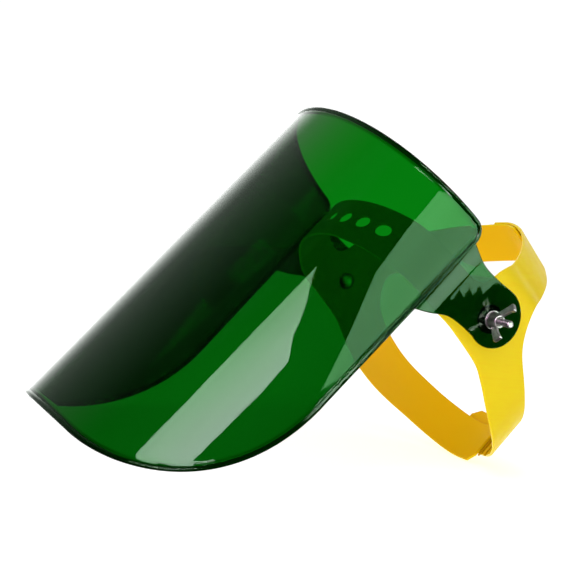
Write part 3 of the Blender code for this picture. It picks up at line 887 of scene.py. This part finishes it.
def mark_painted_light_faces(mesh):
    """Marks the faces that look towards the head, where a painted orange glow stands in for light coming
    through the plastic.
    """
    values = []
    for face in mesh.polygons:
        outward = (face.center - BAND_CENTRE).normalized()
        values.append(smooth_step(-face.normal.dot(outward), -0.1, 0.35))
    mark = mesh.attributes.new(PAINTED_LIGHT_MARK, "FLOAT", "FACE")
    mark.data.foreach_set("value", values)


def joined(name, things):
    bm = bmesh.new()
    for thing in things:
        bm.from_mesh(thing.data)
        bpy.data.objects.remove(thing, do_unlink=True)
    mesh = bpy.data.meshes.new(name)
    bm.to_mesh(mesh)
    bm.free()
    return object_from(name, mesh)


def make_headband(look):
    band = joined("headband_moulding", [band_half(1, True), band_half(-1, False)])
    bm = bmesh.new()
    bm.from_mesh(band.data)
    seam = [v for v in bm.verts if abs(v.co.x) < 1e-5 and v.co.y < 0]
    bmesh.ops.remove_doubles(bm, verts=seam, dist=2e-5)
    bmesh.ops.recalc_face_normals(bm, faces=bm.faces)
    bm.to_mesh(band.data)
    bm.free()
    shape = BandShape(1, True)
    pegs = [peg(shape.middle(*spot), shape.outward(*spot)) for spot in shape.peg_spots()]
    details = nape_details(1, True) + nape_details(-1, False)
    band = joined("headband_moulding", [band, *pegs, *details])
    # marks where the painted through-light orange goes
    mark_painted_light_faces(band.data)
    return settle(band, look, "headband", ["headband"], 40.0, weighted=True)


# ---------------------------------------------------------------- fasteners

def threaded_shank(tip):
    """The bolt's threaded length, from under its neck to the tip, where the thread runs out."""
    rings = int((tip - SHANK_START) / (THREAD_PITCH / 10))
    turns = 48
    vertices = []
    for k in range(rings + 1):
        z = SHANK_START + (tip - SHANK_START) * k / rings
        fade = smooth_step(tip - z, 0.0, THREAD_TAPER)
        for i in range(turns):
            phase = (z / THREAD_PITCH - i / turns) % 1.0
            cut = THREAD_DEPTH * (1 - abs(2 * phase - 1)) ** 1.2
            radius = BOLT_RADIUS - cut - THREAD_TAPER * (1 - fade)
            angle = 2 * math.pi * i / turns
            vertices.append((radius * math.cos(angle), radius * math.sin(angle), z))
    faces = [
        (k * turns + i, k * turns + (i + 1) % turns, (k + 1) * turns + (i + 1) % turns, (k + 1) * turns + i)
        for k in range(rings) for i in range(turns)
    ]
    low, high = len(vertices), len(vertices) + 1
    vertices += [(0, 0, SHANK_START), (0, 0, tip - 0.0001)]
    faces += [(low, (i + 1) % turns, i) for i in range(turns)]
    faces += [(high, rings * turns + i, rings * turns + (i + 1) % turns) for i in range(turns)]
    return object_from("shank", mesh_from("shank", vertices, faces))


def make_bolt(side, look):
    inner = BAND_HALF_WIDTH - BAND_THICK / 2 - GAP
    tip = BOLT_TIP_X - inner
    turns = np.linspace(0.0, math.radians(82), 14)
    dome = [(BOLT_HEAD_RADIUS * math.sin(a), -BOLT_HEAD_HEIGHT * math.cos(a)) for a in turns]
    edge = BOLT_HEAD_EDGE
    foot = [(BOLT_HEAD_RADIUS, -edge), (BOLT_HEAD_RADIUS - edge, 0.0), (0.0, 0.0)]
    head = revolved("head", dome + foot, 64)
    neck = plate("neck", square(NECK_SIDE), [], NECK_LENGTH, NECK_ROUNDING)
    neck.data.transform(Matrix.Translation((0, 0, NECK_MIDDLE)))
    bolt = joined("bolt_" + side_name(side), [head, neck, threaded_shank(tip)])
    face_outwards(bolt.data)
    bolt.data.transform(along_pivot(side, inner))
    return settle(bolt, look, "headband", ["pivot_bolt_" + side_name(side)], 40.0)


def make_washer(name, side, look, node, start, thick, outer, bore, rounding):
    loop = rounded_loop([(bore, 0.0), (outer, 0.0), (outer, thick), (bore, thick)], rounding)
    washer = revolved(name + side_name(side), loop, 96)
    washer.data.transform(along_pivot(side, start))
    return settle(washer, look, "headband", [node + side_name(side)], 50.0)


def wing_outline():
    """One wing's side view: (distance from the axis, height above the nut's foot)."""
    round_off = WING_TIP_RADIUS
    lower = smooth_line([(0.0030, 0.0010), (0.0068, 0.0034), (0.0108, 0.0080)], 6)
    outer = (WING_REACH - round_off, WING_HEIGHT - 0.0040)
    inner = (WING_REACH - 0.0038, WING_HEIGHT - round_off)
    tip = arc(outer, round_off, math.radians(-45), math.radians(45), 4)
    tip += arc(inner, round_off, math.radians(45), math.radians(135), 4)
    upper = smooth_line([(0.0080, 0.0122), (0.0052, 0.0084), (0.0030, 0.0062)], 6)
    return lower + tip + upper


def make_wing_nut(side, look, start):
    """A cast nut: its hub and two wings melt into one skin."""
    bore = NUT_BORE + 0.0003
    hub = revolved("hub", rounded_loop([
        (bore, 0.0), (NUT_BASE_RADIUS, 0.0), (NUT_BASE_RADIUS, 0.0010),
        (NUT_BASE_RADIUS - 0.0003, 0.0016), (NUT_TOP_RADIUS, NUT_HUB_HEIGHT), (bore, NUT_HUB_HEIGHT),
    ], 0.0005), 64)
    wings = []
    for turn in (0, 1):
        wing = plate("wing", wing_outline(), [], WING_THICK, 0.0005, 2)
        rise = Matrix.Rotation(math.pi / 2, 4, "X")
        wing.data.transform(Matrix.Rotation(math.pi * turn, 4, "Z") @ rise)
        face_outwards(wing.data)
        wings.append(wing)
    nut = joined("nut", [hub, *wings])
    remesh = nut.modifiers.new("cast", "REMESH")
    remesh.mode = "VOXEL"
    remesh.voxel_size = NUT_VOXEL
    soften = nut.modifiers.new("soften", "SMOOTH")
    soften.factor = 0.5
    soften.iterations = 4
    applied(nut)
    nut.name = "nut_" + side_name(side)
    nut.data.transform(along_pivot(side, start, WING_TILT))
    node = "wing_nut_" + side_name(side)
    return settle(nut, look, node, [node], 60.0)


# ---------------------------------------------------------------- setting

def make_floor():
    """A wide white floor that fades into the room. The plastic doesn't mirror it."""
    n = Nodes("floor_white")
    s = n.shader
    cloud = n.remap(n.noise(3.0, 3.0), 0.3, 0.7, 0.0, 1.0)
    n.link(n.mix(cloud, (0.80, 0.80, 0.80), (0.83, 0.83, 0.83)), s.inputs["Base Color"])
    s.inputs["Roughness"].default_value = 0.9
    s.inputs["Specular IOR Level"].default_value = 0.0
    s.inputs["Emission Color"].default_value = (1.0, 1.0, 1.0, 1.0)
    s.inputs["Emission Strength"].default_value = FLOOR_GLOW
    corners = [(x, y, FLOOR_Z) for x, y in square(2 * FLOOR_HALF)]
    floor = object_from("floor", mesh_from("floor", corners, [(0, 1, 2, 3)]))
    floor.data.materials.append(n.material)
    floor.visible_glossy = False


def make_world():
    """A white room. Glossy surfaces mirror a darker one, with two soft glows past the far side."""
    world = bpy.data.worlds.new("studio")
    bpy.context.scene.world = world
    world.use_nodes = True
    tree = world.node_tree
    tree.nodes.clear()
    output = tree.nodes.new("ShaderNodeOutputWorld")

    def room(strength):
        node = tree.nodes.new("ShaderNodeBackground")
        node.inputs["Color"].default_value = (1.0, 1.0, 1.0, 1.0)
        node.inputs["Strength"].default_value = strength
        return node

    def chosen(ray, without, with_it):
        mix = tree.nodes.new("ShaderNodeMixShader")
        tree.links.new(path.outputs[ray], mix.inputs[0])
        tree.links.new(without.outputs[0], mix.inputs[1])
        tree.links.new(with_it.outputs[0], mix.inputs[2])
        return mix

    path = tree.nodes.new("ShaderNodeLightPath")
    spot = tree.nodes.new("ShaderNodeTexCoord")
    mirrored = room(0.0)
    glow = None
    for direction, start, full, strength in MIRRORED_GLOWS:
        dot = tree.nodes.new("ShaderNodeVectorMath")
        dot.operation = "DOT_PRODUCT"
        dot.inputs[1].default_value = direction
        tree.links.new(spot.outputs["Generated"], dot.inputs[0])
        ramp = tree.nodes.new("ShaderNodeMapRange")
        ramp.interpolation_type = "SMOOTHSTEP"
        ramp.inputs["From Min"].default_value = start
        ramp.inputs["From Max"].default_value = full
        ramp.inputs["To Min"].default_value = MIRRORED_DARK
        ramp.inputs["To Max"].default_value = strength
        tree.links.new(dot.outputs["Value"], ramp.inputs["Value"])
        total = tree.nodes.new("ShaderNodeMath")
        total.inputs[1].default_value = 0.0
        tree.links.new(ramp.outputs["Result"], total.inputs[0])
        if glow:
            tree.links.new(glow, total.inputs[1])
        glow = total.outputs["Value"]
    tree.links.new(glow, mirrored.inputs["Strength"])
    lit = chosen("Is Diffuse Ray", room(WHITE_ROOM), room(FILL_LIGHT))
    tree.links.new(chosen("Is Glossy Ray", lit, mirrored).outputs[0], output.inputs["Surface"])


def make_card(name, x, corners, strength, tint, low_tint):
    """A flat softbox facing -x, given by its corners in (y, z), with a mottled diffuser."""
    n = Nodes(name)
    glow = n.add("ShaderNodeEmission")
    spot = n.add("ShaderNodeSeparateXYZ")
    n.link(n.add("ShaderNodeNewGeometry").outputs["Position"], spot.inputs["Vector"])
    height = n.remap(spot.outputs["Z"], CARD_LOW_Z, CARD_HIGH_Z, 0.0, 1.0)
    n.link(n.mix(height, low_tint, tint), glow.inputs["Color"])
    mottle = n.noise(7.0, 5.0, 0.65, (1, 1, 0.35))
    dim, bright = (1 - CARD_MOTTLE) * strength, (1 + CARD_MOTTLE) * strength
    n.link(n.remap(mottle, 0.3, 0.7, dim, bright), glow.inputs["Strength"])
    n.link(glow.outputs[0], n.tree.nodes["Material Output"].inputs["Surface"])
    card = object_from(name, mesh_from(name, [(x, y, z) for y, z in corners], [tuple(range(len(corners)))]))
    card.data.materials.append(n.material)
    card.visible_camera = False
    card.visible_diffuse = False
    card.visible_transmission = False
    card.visible_shadow = False


def make_key_light():
    data = bpy.data.lights.new("key_light", "AREA")
    data.shape = "RECTANGLE"
    data.size = KEY_SIZE
    data.size_y = KEY_SIZE
    data.energy = KEY_POWER
    light = object_from("key_light", data)
    light.visible_glossy = False
    light.location = KEY_SPOT
    light.rotation_euler = (KEY_AIM - KEY_SPOT).to_track_quat("-Z", "Y").to_euler()


def make_camera():
    data = bpy.data.cameras.new("camera")
    data.lens = CAMERA_LENS_MM
    data.sensor_width = CAMERA_SENSOR_MM
    data.clip_start = 0.01
    data.clip_end = 100.0
    camera = object_from("camera", data)
    right = CAMERA_RIGHT.normalized()
    up = (CAMERA_UP - right * CAMERA_UP.dot(right)).normalized()
    axes = Matrix((right, up, right.cross(up))).transposed().to_4x4()
    camera.matrix_world = WORN @ Matrix.Translation(CAMERA_SPOT) @ axes
    bpy.context.scene.camera = camera


def main():
    green, yellow = green_look(), yellow_look()
    zinc = metal_look("zinc_bolt", (0.62, 0.61, 0.58), (0.46, 0.46, 0.45), 0.22, 0.40, 1500.0, 0.00002)
    cast = metal_look("zinc_cast", (0.66, 0.64, 0.61), (0.44, 0.43, 0.42), 0.26, 0.45, 900.0, 0.00008)
    fibre = fibre_look()
    make_visor(green)
    make_headband(yellow)
    friction_x = BAND_HALF_WIDTH + BAND_THICK / 2 + GAP
    washer_x = EAR_X + EAR_THICK / 2 + GAP
    for side in (1, -1):
        make_bolt(side, zinc)
        make_washer(
            "washer_fibre_", side, fibre, "friction_washer_", friction_x,
            FRICTION_WASHER_THICK, FRICTION_WASHER_RADIUS, WASHER_BORE, FRICTION_WASHER_ROUNDING,
        )
        make_washer(
            "washer_steel_", side, zinc, "washer_", washer_x,
            WASHER_THICK, WASHER_RADIUS, WASHER_BORE, WASHER_ROUNDING,
        )
        make_wing_nut(side, cast, washer_x + WASHER_THICK + GAP)
    make_floor()
    make_world()
    make_card("softbox_tall", TALL_CARD_X, TALL_CARD, TALL_CARD_STRENGTH, TALL_CARD_TINT, TALL_CARD_LOW_TINT)
    make_card("softbox_near", NEAR_CARD_X, NEAR_CARD, NEAR_CARD_STRENGTH, NEAR_CARD_TINT, NEAR_CARD_TINT)
    make_key_light()
    make_camera()
    scene = bpy.context.scene
    scene.view_settings.view_transform = "Standard"
    scene.view_settings.look = "None"


main()
